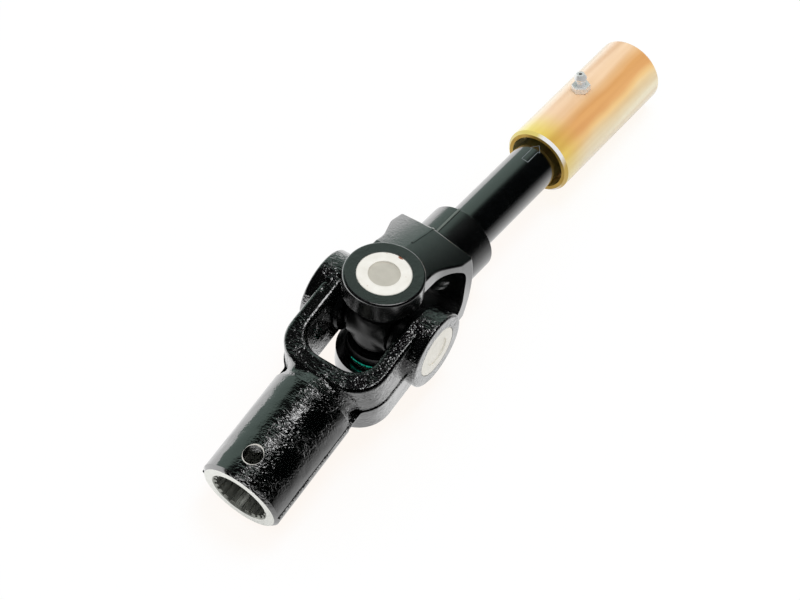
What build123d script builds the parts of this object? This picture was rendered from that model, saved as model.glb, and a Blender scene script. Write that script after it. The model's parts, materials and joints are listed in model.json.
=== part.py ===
from build123d import *
import os
from math import asin, atan, atan2, cos, degrees, hypot, pi, radians, sin, tan

# Splined drive shaft with one universal joint, a slip sleeve and a grease nipple, lying on a bench.
# Millimetres, +Z up, X along the shaft from the splined hub (low X) to the sleeve (high X).
# Each yoke is drawn straight, about the centre of the joint, and then turned to the way it lies.

# Universal joint cross and bearings
cap_od = 22.0                # bearing cap, outside
joint_span = 55.0            # across the outer faces of two opposite caps
trunnion_d = 12.7
needle_d = 3.0
needle_count = 16
needle_play = 0.03           # radial play on each side of a needle
cap_floor = 2.8              # thickness of the closed end of a cap
cap_edge = 0.35              # chamfer round the closed end
dimple_d = 12.8              # shallow recess in the closed end
dimple_depth = 0.6
washer_t = 1.0               # thrust washer between trunnion end and cap
washer_hole_d = 5.0
washer_play = 0.1
needle_end_play = 0.2
shoulder_d = 21.6            # round shoulders of the cross body
shoulder_step = 2.3          # from the shoulder's end to the root's
shoulder_round = 1.2
root_d = 16.8                # root of each trunnion
root_gap = 0.6               # from the root's end to the seal boot
trunnion_edge = 0.5

# Snap ring and seal boot round each cap
ring_od = 25.0
ring_t = 1.4
ring_groove_depth = 0.8
ring_side_play = 0.05
ring_gap = 13.0              # opening of the snap ring
boot_wall = 0.9
boot_bead_od = 25.2
boot_bead_t = 1.2
boot_bead_setback = 0.3      # from the snap ring to the bead
boot_web = 0.6               # thickness over the cap's mouth
boot_gap = 0.25              # room for the boot of the next cap
boot_lip_t = 1.5
boot_lip_play = 0.15
press_fit = 0.02             # radial room of a pressed-in cap or shaft, in the model

# Yoke ears, the same on both yokes
ear_d = 32.6
ear_t = 9.0
ear_edge = 1.0               # rounded outer edge of an ear
seat_d = 27.0                # flat seat for the snap ring inside an ear

# Hub yoke, forged, with a splined bore
hub_od = 35.4
hub_reach = 93.3             # from the joint centre to the hub's end face
hub_chamfer = 1.4
hub_blend_start = 46.0       # where the hub starts to fall to the fork's height
hub_blend_end = 38.0
fork_width = 46.6
fork_back = 41.6             # joint centre to the outside of the fork's base
fork_throat = 32.0           # joint centre to the inside of the fork's base
fork_height = 31.0
fork_gap = 29.4
fork_draft = 2.6             # degrees, both ways from the parting line
fork_corner = 15.0
throat_corner = 9.5
fork_round = 1.6             # outer edges
fork_inner_round = 2.2       # inner edges, clear of the other yoke's ears when the joint bends
hub_fillet = 3.0             # between the fork and the hub
hub_blend = 0.7              # share of the hub's radius beyond which that fillet runs
flash_t = 0.9                # forging flash along the parting line
flash_proud = 0.45
pin_hole_d = 8.0             # cross hole for a pin or a bolt
pin_hole_setback = 11.6      # from the hub's end face
pin_hole_sink_d = 9.0

# Splines, the same form in the hub and in the sleeve
spline_teeth = 22
spline_major_d = 24.5
spline_minor_d = 22.3
spline_play = 0.05           # radial and flank room between shaft and sleeve
spline_lead = 0.8            # chamfer at the mouth of a splined bore
hub_relief_d = 25.4          # plain bore behind the hub's spline
hub_spline_length = 42.0

# Shaft yoke, forged, with a collar for the shaft
crown_drop = 0.4             # from an ear's face down to the outside of its arm
arm_crown_reach = 13.0
back_corner_rise = 1.3       # from the inside of an ear out to the back corner
yoke_back = 37.0             # joint centre to the back corner
yoke_back_bulge = 40.6       # joint centre to the middle of the rounded back
arm_draft = 5.5              # degrees, both ways from the parting line
arm_edge = 1.0               # rounding along an arm's outer edges
yoke_throat = 33.2
yoke_throat_corner = 13.0
arm_waist = 27.4             # width of an arm beside the ear
arm_base = 35.4              # width of the arms at the back
waist_reach = 18.0
base_reach = 28.5
waist_blend = 14.0
base_blend = 7.0
back_corner_round = 3.2      # seen from above
back_edge_round = 2.0        # seen from the side
collar_od = 30.6
collar_reach = 55.8
collar_edge = 0.5
seam_t = 0.9                 # parting line of the shaft yoke
seam_proud = 0.22
seam_start = 22.0
seam_offset = 2.6            # from the middle of the arms

# Shaft and sleeve
shaft_od = 20.5
shaft_head_start = 124.0     # splined head, hidden in the sleeve
shaft_head_length = 34.0
shaft_seat = 35.5            # joint centre to the shaft's end inside the collar
sleeve_od = 30.2
sleeve_mouth = 110.3
sleeve_length = 72.7
sleeve_chamfer = 1.2
counterbore_d = 24.7         # plain bore in the sleeve's mouth
counterbore_depth = 7.0

# Grease nipple
nipple_from_mouth = 34.7
nipple_tilt = 12.0           # degrees round the sleeve from the top
nipple_thread_d = 6.0
nipple_hex = 7.0             # across flats
nipple_hex_t = 2.5
nipple_neck_d = 3.8
nipple_head_d = 5.4
nipple_height = 8.2          # above the sleeve
nipple_head_t = 3.6
nipple_head_face_d = 3.4
nipple_bore_d = 1.6
nipple_ball_d = 1.9
nipple_ball_seat = 0.5       # ball below the top of the head
nipple_seat_play = 0.02
nipple_recess = 1.6

# How the joint lies bent on the bench
joint_yaw = 2.6              # degrees, cross against the shaft yoke

half_span = joint_span / 2
cap_r = cap_od / 2
trunnion_r = trunnion_d / 2
needle_ring_r = trunnion_r + needle_play + needle_d / 2
cap_bore_r = needle_ring_r + needle_d / 2 + needle_play
cap_inner = half_span - cap_floor
boot_r = cap_r + boot_wall
boot_low = boot_r + boot_gap
cap_open = boot_low + boot_web
trunnion_end = cap_inner - washer_t - washer_play
ear_inner = half_span - ear_t
arm_crown = half_span - crown_drop
yoke_back_height = ear_inner + back_corner_rise
ring_groove_r = cap_r - ring_groove_depth
root_reach = boot_low - root_gap
shoulder_reach = root_reach - shoulder_step
ear_r = ear_d / 2
hub_r = hub_od / 2
sleeve_r = sleeve_od / 2
sleeve_end = sleeve_mouth + sleeve_length
spline_major_r = spline_major_d / 2
spline_minor_r = spline_minor_d / 2


def turned(*points):
    """A solid of revolution about Z from its half profile of (radius, height) points."""
    return revolve(make_face(Polyline([(r, 0, z) for r, z in points], close=True)), axis=Axis.Z)


def along_x(shape):
    """Turns a shape drawn along Z so that it runs along X."""
    return Rot(Y=90) * shape


def disc(radius, start, end):
    """A round bar along Z between two heights."""
    return Pos(Z=start) * extrude(Circle(radius), end - start)


# Bearing pieces, drawn along one trunnion with Z pointing outwards
def bearing_cap():
    """Closed steel cup with a recess in its end and a groove for its snap ring."""
    groove_low = ear_inner - ring_t - 2 * ring_side_play
    top = half_span
    return turned(
        (0, top - dimple_depth), (dimple_d / 2, top - dimple_depth), (dimple_d / 2, top),
        (cap_r - cap_edge, top), (cap_r, top - cap_edge),
        (cap_r, ear_inner), (ring_groove_r, ear_inner), (ring_groove_r, groove_low), (cap_r, groove_low),
        (cap_r, cap_open), (cap_bore_r, cap_open), (cap_bore_r, cap_inner), (0, cap_inner))


def needle_set():
    """Full ring of loose needle rollers between trunnion and cap."""
    low = cap_open + boot_lip_t + needle_end_play
    high = cap_inner - washer_t - needle_end_play
    roller = disc(needle_d / 2, low, high)
    return Part() + [place * roller for place in PolarLocations(needle_ring_r, needle_count)]


def thrust_washer():
    """Flat washer on the floor of the cap, which the trunnion's end bears on."""
    return disc(cap_bore_r - needle_play, cap_inner - washer_t, cap_inner) - disc(
        washer_hole_d / 2, cap_inner - washer_t, cap_inner)


def seal_boot():
    """Rubber boot over the cap's mouth, with a lip inside and a bead outside."""
    bead_high = ear_inner - ring_t - ring_side_play - boot_bead_setback
    bead_low = bead_high - boot_bead_t
    lip_r = trunnion_r + boot_lip_play
    return turned(
        (lip_r, boot_low), (boot_r, boot_low), (boot_r, bead_low),
        (boot_bead_od / 2, bead_low), (boot_bead_od / 2, bead_high), (cap_r, bead_high),
        (cap_r, cap_open), (cap_bore_r, cap_open), (cap_bore_r, cap_open + boot_lip_t),
        (lip_r, cap_open + boot_lip_t))


def snap_ring():
    """Open ring in the cap's groove, hard against the inside of the ear."""
    low = ear_inner - ring_t - ring_side_play
    high = low + ring_t
    ring = disc(ring_od / 2, low, high) - disc(ring_groove_r + ring_side_play, low, high)
    opening = Pos(X=-ring_od / 2, Z=low) * Box(ring_od, ring_gap, 2 * ring_t)
    return ring - opening


def cross_piece():
    """Forged cross: round shoulders, trunnion roots and four ground trunnions."""
    shoulders = disc(shoulder_d / 2, -shoulder_reach, shoulder_reach)
    shoulders = fillet(shoulders.edges().filter_by(GeomType.CIRCLE), shoulder_round)
    bar = shoulders + disc(root_d / 2, -root_reach, root_reach)
    bar += chamfer(disc(trunnion_r, -trunnion_end, trunnion_end).edges().filter_by(GeomType.CIRCLE), trunnion_edge)
    return bar + Rot(X=90) * bar


def ear_pair():
    """Two ear discs along Z, with a gap for the cross between them."""
    ears = disc(ear_r, -half_span, half_span)
    ears = fillet(ears.edges().filter_by(GeomType.CIRCLE), ear_edge)
    return ears - disc(ear_r, -ear_inner, ear_inner)


def ear_bores():
    """What is cut through both ears along Z: the cap bores and the snap ring seats."""
    return disc(cap_r + press_fit, -half_span, half_span) + disc(seat_d / 2, -ear_inner, ear_inner)


def spline_section(minor_r, major_r, teeth, slack=0.0):
    """Cross-section of a straight-sided spline: a round core with a ring of teeth."""
    pitch = 2 * pi / teeth
    root_half = minor_r * pitch * 0.29 - slack
    tip_half = major_r * pitch * 0.21 - slack
    tooth = Polygon(
        (minor_r * 0.9, -root_half), (major_r, -tip_half), (major_r, tip_half), (minor_r * 0.9, root_half), align=None)
    return Circle(minor_r) + [place * tooth for place in PolarLocations(0, teeth)]


def splined_bore(start, end):
    """Splined hole along X with a lead chamfer at each end."""
    bore = extrude(spline_section(spline_minor_r, spline_major_r, spline_teeth), end - start)
    lead_r = spline_major_r + spline_lead / 2
    lead = Cone(lead_r, lead_r - spline_lead, spline_lead, align=(Align.CENTER, Align.CENTER, Align.MIN))
    bore += lead + Pos(Z=end - start) * Rot(X=180) * lead
    return Pos(X=start) * along_x(bore)


# Hub yoke, straight, with the hub along -X and the ears on Y
def fork_plan(half_width, back, corner, front):
    """Flat U or slot outline that is open towards +X."""
    outline = Pos(X=(front - back) / 2) * Rectangle(front + back, 2 * half_width)
    return fillet(outline.vertices().group_by(Axis.X)[0], corner)


def drafted(sketch, height, draft):
    """The sketch pulled up and down from the parting line, with draft both ways."""
    up = extrude(sketch, height / 2, taper=draft)
    return up + mirror(up, about=Plane.XY)


def rounded_fork(block):
    """The fork with the edges of its flat top and bottom rounded, back of the ears."""
    rims = [e for f in block.faces().filter_by(Plane.XY) for e in f.edges() if e.center().X < -fork_round]
    inner = [e for e in rims if abs(e.center().Y) < fork_gap / 2 + fork_round and e.center().X > -fork_throat]
    outer = [e for e in rims if e not in inner]
    return block.fillet(fork_inner_round, inner).fillet(fork_round, outer)


def hub_yoke():
    """Forged fork and thick splined hub, with the flash line left by the dies."""
    plan = fork_plan(fork_width / 2, fork_back, fork_corner, 0)
    throat = fork_plan(fork_gap / 2, fork_throat, throat_corner, ear_d)
    block = rounded_fork(drafted(plan, fork_height, fork_draft) - drafted(throat, hub_od, -fork_draft))
    barrel = along_x(turned(
        (0, -hub_reach), (hub_r - hub_chamfer, -hub_reach), (hub_r, -hub_reach + hub_chamfer),
        (hub_r, -hub_blend_start), (fork_height / 2 - fork_round, -hub_blend_end), (0, -hub_blend_end)))
    body = block + barrel
    waist = [e for e in body.edges() if -hub_blend_start < e.center().X < -hub_blend_end
             and abs(e.center().Y) > hub_blend * hub_r]
    body = body.fillet(hub_fillet, waist) + Rot(X=90) * ear_pair()
    flash_plan = plan + Pos(X=-(hub_reach + fork_throat) / 2 + hub_chamfer) * Rectangle(
        hub_reach - fork_throat, hub_od)
    corners = [v for v in flash_plan.vertices() if -fork_back < v.X and abs(v.Y) < hub_r + flash_proud]
    flash_plan = offset(fillet(corners, hub_fillet), flash_proud) - throat
    body += Pos(Z=-flash_t / 2) * extrude(flash_plan, flash_t)
    body -= Rot(X=90) * ear_bores()
    spline_end = -hub_reach + hub_spline_length
    body -= splined_bore(-hub_reach, spline_end)
    body -= along_x(disc(hub_relief_d / 2, spline_end - spline_lead, -fork_throat + throat_corner))
    hole_x = -hub_reach + pin_hole_setback
    sink = (pin_hole_sink_d - pin_hole_d) / 2
    body -= Pos(X=hole_x) * disc(pin_hole_d / 2, -hub_od, hub_od)
    for turn in (0, 180):
        body -= Rot(X=turn) * Pos(X=hole_x, Z=hub_r - sink) * Cone(
            pin_hole_d / 2, pin_hole_sink_d / 2 + sink, 2 * sink, align=(Align.CENTER, Align.CENTER, Align.MIN))
    return body


# Shaft yoke, straight, with the ears on Z and the shaft along +X
def shaft_yoke():
    """U-shaped yoke with waisted arms, a rounded back and a collar round the shaft."""
    corner, bulge = (yoke_back, yoke_back_height), (yoke_back_bulge, 0)
    back = ThreePointArc(corner, bulge, (yoke_back, -yoke_back_height))
    sides = Polyline(corner, (arm_crown_reach, arm_crown), (0, arm_crown), (0, -arm_crown),
                     (arm_crown_reach, -arm_crown), (yoke_back, -yoke_back_height))
    outside = make_face(back + sides)
    outside = fillet(outside.vertices().group_by(Axis.X)[-1], back_edge_round)
    plan = Polygon(
        (0, arm_waist / 2), (waist_reach, arm_waist / 2), (base_reach, arm_base / 2),
        (yoke_back_bulge, arm_base / 2), (yoke_back_bulge, -arm_base / 2), (base_reach, -arm_base / 2),
        (waist_reach, -arm_waist / 2), (0, -arm_waist / 2), align=None)
    columns = plan.vertices().group_by(Axis.X)
    plan = fillet(columns[1], waist_blend)
    plan = fillet(plan.vertices().group_by(Axis.X)[-2], base_blend)
    plan = fillet(plan.vertices().group_by(Axis.X)[-1], back_corner_round)
    near = extrude(outside, arm_base / 2 + seam_offset, taper=arm_draft)
    far = extrude(outside, arm_base / 2 - seam_offset, taper=arm_draft)
    strap = Pos(Y=seam_offset) * (Rot(X=-90) * near + Rot(X=90) * far) & extrude(plan, half_span, both=True)
    strap = strap.fillet(arm_edge, [
        e for e in strap.edges() if abs(e.center().Y) > arm_waist / 2 - arm_edge
        and abs(e.center().Z) > yoke_back_height - 2 * arm_edge and arm_edge < e.center().X < yoke_back - arm_edge])
    collar = along_x(turned(
        (0, yoke_throat), (collar_od / 2, yoke_throat), (collar_od / 2, collar_reach - collar_edge),
        (collar_od / 2 - collar_edge, collar_reach), (0, collar_reach)))
    body = strap + collar + ear_pair()
    seam = offset(outside + Pos(X=(yoke_throat + collar_reach - collar_edge) / 2) * Rectangle(
        collar_reach - collar_edge - yoke_throat, collar_od), seam_proud)
    seam = seam & Pos(X=seam_start, Y=0) * Rectangle(
        collar_reach, joint_span, align=(Align.MIN, Align.CENTER))
    seam = seam & Pos(X=0, Y=0) * Rectangle(collar_reach - collar_edge, joint_span, align=(Align.MIN, Align.CENTER))
    body += Pos(Y=seam_offset) * extrude(Plane.XZ * seam, seam_t / 2, both=True)
    throat = Plane.XZ * fillet(
        (Pos(X=(yoke_throat - ear_d) / 2) * Rectangle(yoke_throat + ear_d, 2 * ear_inner)).vertices().group_by(Axis.X)[-1],
        yoke_throat_corner)
    body -= extrude(throat, ear_d, both=True)
    body -= ear_bores()
    body -= along_x(disc(shaft_od / 2 + press_fit, 0, collar_reach))
    return body


# Shaft, sleeve and grease nipple, along +X
def drive_shaft():
    """Round shaft with a splined head that slides in the sleeve."""
    head_end = shaft_head_start + shaft_head_length
    shaft_r = shaft_od / 2
    step = spline_major_r - shaft_r
    envelope = turned(
        (0, shaft_seat), (shaft_r - trunnion_edge, shaft_seat), (shaft_r, shaft_seat + trunnion_edge),
        (shaft_r, shaft_head_start), (spline_major_r, shaft_head_start + step),
        (spline_major_r, head_end - step), (shaft_r, head_end), (0, head_end))
    section = spline_section(spline_minor_r - spline_play, spline_major_r - spline_play, spline_teeth, spline_play)
    return along_x(envelope & (Pos(Z=shaft_head_start) * extrude(section, shaft_head_length) + disc(
        shaft_r, shaft_seat, shaft_head_start)))


def nipple_place():
    """Where the nipple's axis crosses the sleeve's, with Z along the nipple."""
    return Pos(X=sleeve_mouth + nipple_from_mouth) * Rot(X=-nipple_tilt)


def slip_sleeve():
    """Thick tube with a plain mouth, a spline behind it and a hole for the nipple."""
    body = along_x(turned(
        (0, sleeve_mouth), (sleeve_r - sleeve_chamfer, sleeve_mouth), (sleeve_r, sleeve_mouth + sleeve_chamfer),
        (sleeve_r, sleeve_end - sleeve_chamfer), (sleeve_r - sleeve_chamfer, sleeve_end), (0, sleeve_end)))
    spline_start = sleeve_mouth + counterbore_depth
    body -= splined_bore(spline_start, sleeve_end)
    body -= along_x(disc(counterbore_d / 2, sleeve_mouth, spline_start))
    return body - nipple_place() * disc(nipple_thread_d / 2 + press_fit, 0, sleeve_r)


def grease_nipple():
    """Hexagon, neck and rounded head, with a drilled way through for the grease."""
    head_low = nipple_height - nipple_head_t
    seat = sleeve_r * cos(asin(nipple_thread_d / sleeve_od))
    stub = disc(nipple_thread_d / 2, spline_major_r, sleeve_r + nipple_hex_t)
    hexagon = Pos(Z=sleeve_r) * extrude(RegularPolygon(nipple_hex / 2, 6, major_radius=False), nipple_hex_t)
    head = Pos(Z=sleeve_r) * turned(
        (0, nipple_hex_t), (nipple_neck_d / 2, nipple_hex_t), (nipple_neck_d / 2, head_low),
        (nipple_head_d / 2, head_low + nipple_head_t / 3), (nipple_head_d / 2, head_low + nipple_head_t / 2),
        (nipple_head_face_d / 2, nipple_height), (0, nipple_height))
    body = stub + hexagon + head
    bore_top = sleeve_r + nipple_height
    body -= disc(nipple_bore_d / 2, spline_major_r, bore_top)
    pocket = disc(nipple_ball_d / 2 + nipple_seat_play, seat, bore_top - nipple_ball_seat)
    return nipple_place() * (body - pocket)


def nipple_ball():
    """Check ball in the nipple's head."""
    height = sleeve_r + nipple_height - nipple_ball_seat - nipple_ball_d / 2
    return nipple_place() * Pos(Z=height) * Sphere(nipple_ball_d / 2)


# The lie on the bench: the sleeve's end and the lowest ear carry the shaft, and the hub's end hangs to the bench
def bench_pose():
    """Turns of the shaft, the cross and the hub yoke about the centre of the joint."""
    ear_edge_r = ear_r - ear_edge
    droop = atan((half_span - sleeve_r) / (sleeve_end - sleeve_chamfer - ear_edge_r))
    height = half_span * cos(droop) + ear_edge_r * sin(droop)
    rim = hub_reach - hub_chamfer
    hub_droop = asin(height / hypot(rim, hub_r)) - atan(hub_r / rim)
    level, tilt = sin(droop) * cos(radians(joint_yaw)), cos(droop)
    hub_turn = asin(sin(hub_droop) / hypot(level, tilt)) + atan(level / tilt)
    shaft = Rot(Y=degrees(droop))
    cross = shaft * Rot(Z=joint_yaw)
    return shaft, cross, cross * Rot(Y=-degrees(hub_turn))


shaft_pose, cross_pose, hub_pose = bench_pose()
outward = {"top": shaft_pose, "bottom": shaft_pose * Rot(X=180),
           "left": hub_pose * Rot(X=-90), "right": hub_pose * Rot(X=90)}
bearing_pieces = {"bearing_cap": bearing_cap(), "needle_rollers": needle_set(), "thrust_washer": thrust_washer(),
                  "seal_boot": seal_boot(), "snap_ring": snap_ring()}

nodes = {
    "hub_yoke": hub_pose * hub_yoke(),
    "cross": cross_pose * cross_piece(),
    "shaft_yoke": shaft_pose * shaft_yoke(),
    "drive_shaft": shaft_pose * drive_shaft(),
    "slip_sleeve": shaft_pose * slip_sleeve(),
    "grease_nipple": shaft_pose * grease_nipple(),
    "nipple_ball": shaft_pose * nipple_ball(),
}
for side, pose in outward.items():
    for name, piece in bearing_pieces.items():
        nodes[f"{name}_{side}"] = pose * piece

# The origin is the middle of the part's bounding box, on the bench
box = Compound(list(nodes.values())).bounding_box()
to_origin = Pos(-box.center().X, -box.center().Y, -box.min.Z)
os.makedirs("parts", exist_ok=True)
for name, shape in nodes.items():
    export_step(to_origin * shape, f"parts/{name}.step")
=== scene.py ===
# %% [markdown]
# # A drive shaft with one universal joint
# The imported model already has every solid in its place. This script dresses it: it finds where the shaft, the cross and
# the hub yoke lie, sets the camera and the light, paints each part and adds the small forms that a solid model leaves out.

# %% Load the frame
import json
from math import degrees, pi, radians
import bmesh
import bpy
import numpy as np
from mathutils import Matrix, Vector
from mathutils.bvhtree import BVHTree


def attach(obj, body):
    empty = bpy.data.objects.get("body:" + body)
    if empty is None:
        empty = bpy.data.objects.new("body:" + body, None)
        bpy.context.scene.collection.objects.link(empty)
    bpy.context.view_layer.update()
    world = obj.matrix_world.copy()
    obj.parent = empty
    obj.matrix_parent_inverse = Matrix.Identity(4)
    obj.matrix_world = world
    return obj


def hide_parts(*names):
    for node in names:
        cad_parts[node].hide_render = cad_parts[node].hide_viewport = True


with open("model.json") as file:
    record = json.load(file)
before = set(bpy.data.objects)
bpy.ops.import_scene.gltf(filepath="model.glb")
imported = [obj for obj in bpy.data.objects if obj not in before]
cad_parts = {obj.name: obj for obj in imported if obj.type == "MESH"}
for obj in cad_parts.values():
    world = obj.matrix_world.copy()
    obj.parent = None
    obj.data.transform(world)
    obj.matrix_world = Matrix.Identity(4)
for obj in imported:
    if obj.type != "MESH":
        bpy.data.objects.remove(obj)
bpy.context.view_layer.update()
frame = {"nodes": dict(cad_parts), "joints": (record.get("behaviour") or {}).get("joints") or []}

MM = 0.001
nodes = frame["nodes"]
scene = bpy.context.scene
scene.view_settings.view_transform = "Standard"

# %% [markdown]
# ## Where the three moving parts lie
# The shaft, the cross and the hub yoke each have a straight drawing of their own, with X along the part and the centre of
# the joint at the origin. The joints in the record give the real axes, so a form that is drawn straight goes to its place
# with one matrix, and nothing is measured twice.

# %% One matrix for each part
joints = {j["name"]: j for j in frame["joints"]}
joint_centre = Vector(joints["cross_swivel"]["pos_m"])
shaft_x = Vector(joints["sleeve_slide"]["axis"]).normalized()
shaft_z = Vector(joints["cross_swivel"]["axis"]).normalized()
cross_y = Vector(joints["hub_swing"]["axis"]).normalized()
hub_bend = radians(sum(joints["hub_swing"]["range_deg"]) / 2)


def placed(x, y, z):
    """The matrix that takes a straight drawing to axes x, y and z at the joint's centre."""
    turn = Matrix((x, y, z)).transposed()
    return Matrix.Translation(joint_centre) @ turn.to_4x4()


shaft_place = placed(shaft_x, shaft_z.cross(shaft_x), shaft_z)
hub_x = Matrix.Rotation(-hub_bend, 3, cross_y) @ cross_y.cross(shaft_z)
hub_place = placed(hub_x, cross_y, hub_x.cross(cross_y))
print("the hub is bent", round(degrees(hub_bend), 2), "degrees against the shaft")

# %% [markdown]
# ## Camera
# The part was photographed from close above with a lens of medium length. The camera's place and turn come from matching
# the outlines of the model's ears, hub and sleeve to the picture.

# %% The camera
camera = bpy.data.objects.new("camera", bpy.data.cameras.new("camera"))
scene.collection.objects.link(camera)
scene.camera = camera
camera.data.sensor_width = 36.0
camera.data.lens = 100.08
camera.data.clip_start, camera.data.clip_end = 0.05, 20.0
look_right = Vector((0.60075597, -0.79880053, 0.03178012))
look_along = Vector((0.48255093, 0.33064546, -0.81105991))
look_up = look_right.cross(look_along)
camera.matrix_world = Matrix.Translation(Vector((-458.244, -292.934, 744.344)) * MM) @ Matrix(
    (look_right, look_up, -look_along)).transposed().to_4x4()
print("camera", [round(v, 3) for v in camera.matrix_world.translation], "lens", camera.data.lens)

# %% [markdown]
# ## Small helpers for materials
# Colours are written as the hex values that a colour picker shows, and one function turns them to linear light. Another
# adds a node with its settings and links in one call, and a third sets inputs of a node that is already there.


# %% Colours and nodes
def linear(hex_colour):
    """An sRGB hex colour as linear RGBA."""
    parts = [int(hex_colour[i:i + 2], 16) / 255 for i in (1, 3, 5)]
    return tuple(p / 12.92 if p <= 0.04045 else ((p + 0.055) / 1.055) ** 2.4 for p in parts) + (1.0,)


def plug(tree, node, inputs):
    """Sets inputs by name, or by number as i0: a value is set, a socket is linked."""
    for name, value in inputs.items():
        by_number = name[0] == "i" and name[1:].isdigit()
        socket = node.inputs[int(name[1:])] if by_number else node.inputs[name.replace("_", " ")]
        if isinstance(value, bpy.types.NodeSocket):
            tree.links.new(value, socket)
        else:
            socket.default_value = value


def add(tree, kind, settings=None, **inputs):
    """Adds a node. Stops are places on a ramp, each with a hex colour or a grey level."""
    node = tree.nodes.new(kind)
    for name, value in (settings or {}).items():
        if name == "stops":
            elements = node.color_ramp.elements
            elements[0].position, elements[1].position = value[0][0], value[-1][0]
            for stop in value[1:-1]:
                elements.new(stop[0])
            for element, (_, colour) in zip(elements, value):
                element.color = linear(colour) if isinstance(colour, str) else (colour, colour, colour, 1.0)
        else:
            setattr(node, name, value)
    plug(tree, node, inputs)
    return node


def new_material(name):
    """An empty material with its shader and output joined."""
    material = bpy.data.materials.new(name)
    material.use_nodes = True
    tree = material.node_tree
    tree.nodes.clear()
    shader = add(tree, "ShaderNodeBsdfPrincipled")
    add(tree, "ShaderNodeOutputMaterial", Surface=shader.outputs["BSDF"])
    return material, tree, shader


def per_mm(size_mm):
    """Texture scale for features of that size, because object coordinates are in metres."""
    return 1.0 / (size_mm * MM)


def straightened(place):
    """Location and rotation of a Mapping node that turns object coordinates into a part's straight drawing."""
    back = place.inverted()
    return {"Location": back.translation, "Rotation": back.to_euler("XYZ")}


# %% [markdown]
# ## Gloss black enamel over a rough forging
# The hub yoke is drop forged, shot blasted and dipped in gloss black enamel. The scale of the forging shows through the
# paint as wrinkles about 2 mm long, so the gloss breaks into small sharp glints where a lamp is mirrored and stays deep
# black elsewhere. The bump is no finer than that: finer grit would only turn the glints into a grey veil. The paint is a
# pigmented layer under a clear one, each with a high index of refraction, because the real part is bright in its
# reflections and black between them.
#
# The blasting did not reach every side alike. On the barrel the scale is strong in one long band and nearly smooth beside
# it, and the fork behind the barrel has half of it all round. A ramp over the width of the straight hub is that band.
# The arms of the shaft yoke are slightly crowned across, and a slow bump that falls with the square of the distance from
# their middle line bends their reflection the same way.

# %% Black enamel on the forging
LACQUER = {"IOR": 2.4, "Coat_Weight": 1.0, "Coat_IOR": 2.4}
HALF_BAND = 20 * MM          # the band's ramp runs over this distance each side of the hub's axis
FORK_START = (-52 * MM, -44 * MM)   # along the hub, where the barrel runs out into the fork
FORK_SCALE = 0.5             # share of the scale on the fork


def forged_enamel(name, wrinkle_mm, depth_mm, gloss, colour, sheen, worn=None, crown_per_m=0.0):
    """Black enamel over forging scale of one size and depth, in millimetres. Stops in worn limit the scale to a band on the
    hub's barrel. A crown bends the face like a barrel, in metres of fall for a square metre of offset."""
    material, tree, shader = new_material(name)
    place = add(tree, "ShaderNodeTexCoord").outputs["Object"]
    scale_place, smooth_under = place, {}
    rough = add(tree, "ShaderNodeTexNoise", Vector=place, Scale=per_mm(9.0), Detail=1.0)
    strength = add(tree, "ShaderNodeValToRGB", {"stops": [(0.35, 0.3), (0.6, 1.0)]}, Fac=rough.outputs["Fac"]).outputs[0]
    if worn:
        straight = add(tree, "ShaderNodeMapping", Vector=place, **straightened(hub_place)).outputs[0]
        scale_place = add(tree, "ShaderNodeMapping", Vector=straight, Scale=(1.3, 0.6, 1.0)).outputs[0]
        spot = add(tree, "ShaderNodeSeparateXYZ", Vector=straight)
        band = add(tree, "ShaderNodeMapRange", Value=spot.outputs["Y"], From_Min=-HALF_BAND, From_Max=HALF_BAND)
        on_barrel = add(tree, "ShaderNodeValToRGB", {"stops": worn}, Fac=band.outputs[0])
        on_fork = add(tree, "ShaderNodeMapRange", Value=spot.outputs["X"], From_Min=FORK_START[0], From_Max=FORK_START[1],
                      To_Max=FORK_SCALE)
        share = add(tree, "ShaderNodeMath", {"operation": "MAXIMUM"}, i0=on_barrel.outputs[0], i1=on_fork.outputs[0])
        strength = add(tree, "ShaderNodeMath", {"operation": "MULTIPLY"}, i0=strength, i1=share.outputs[0]).outputs[0]
    if crown_per_m:
        straight = add(tree, "ShaderNodeMapping", Vector=place, **straightened(shaft_place)).outputs[0]
        across = add(tree, "ShaderNodeSeparateXYZ", Vector=straight).outputs["Y"]
        square = add(tree, "ShaderNodeMath", {"operation": "MULTIPLY"}, i0=across, i1=across)
        fall = add(tree, "ShaderNodeMath", {"operation": "MULTIPLY"}, i0=square.outputs[0], i1=-crown_per_m)
        crown = add(tree, "ShaderNodeBump", Height=fall.outputs[0], Strength=1.0, Distance=1.0)
        smooth_under = {"Normal": crown.outputs["Normal"]}
    wrinkles = add(tree, "ShaderNodeTexNoise", Vector=scale_place, Scale=per_mm(wrinkle_mm), Detail=1.0, Roughness=0.5,
                   Distortion=1.6)
    dents = add(tree, "ShaderNodeTexNoise", Vector=place, Scale=per_mm(wrinkle_mm * 4), Detail=1.0)
    patches = add(tree, "ShaderNodeTexNoise", Vector=place, Scale=per_mm(14.0), Detail=2.0)
    low = add(tree, "ShaderNodeBump", Height=dents.outputs["Fac"], Strength=1.0, Distance=depth_mm * 0.5 * MM,
              **smooth_under)
    fine = add(tree, "ShaderNodeBump", Height=wrinkles.outputs["Fac"], Strength=strength, Distance=depth_mm * MM,
               Normal=low.outputs["Normal"])
    tone = add(tree, "ShaderNodeValToRGB", {"stops": [(0.3, colour), (0.75, sheen)]}, Fac=patches.outputs["Fac"])
    polish = add(tree, "ShaderNodeValToRGB", {"stops": [(0.3, gloss), (0.8, gloss + 0.07)]}, Fac=patches.outputs["Fac"])
    plug(tree, shader, {"Base_Color": tone.outputs[0], "Roughness": polish.outputs[0], "Normal": fine.outputs["Normal"],
                        "Coat_Normal": fine.outputs["Normal"], **LACQUER, "Coat_Roughness": gloss})
    return material


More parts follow.
